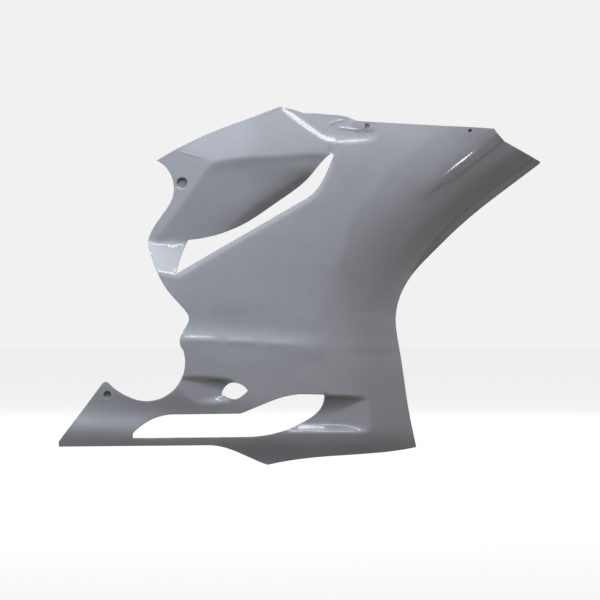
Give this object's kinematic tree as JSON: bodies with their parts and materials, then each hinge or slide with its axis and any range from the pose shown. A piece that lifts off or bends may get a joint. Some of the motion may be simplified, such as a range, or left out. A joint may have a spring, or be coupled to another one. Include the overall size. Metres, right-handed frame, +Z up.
{
  "type": "motorcycle side fairing",
  "caption": "Right-hand side fairing panel of a sports motorcycle: a curved moulded shell with a blade and side vent above, a ledge across it, and a lower vent near its tail.",
  "frame": {"origin": "in the outer skin on the axis of the rear fixing recess", "axes": "+X forward on the motorcycle, +Z up, -Y outboard, so the outer side of the panel faces -Y"},
  "size_m": [0.972, 0.1148, 0.72],
  "materials": {
    "gelcoat": "glossy light cool grey gelcoat over a glass-fibre laminate, unpainted"
  },
  "bodies": {
    "root": {"side_fairing": "gelcoat"}
  },
  "joints": []
}
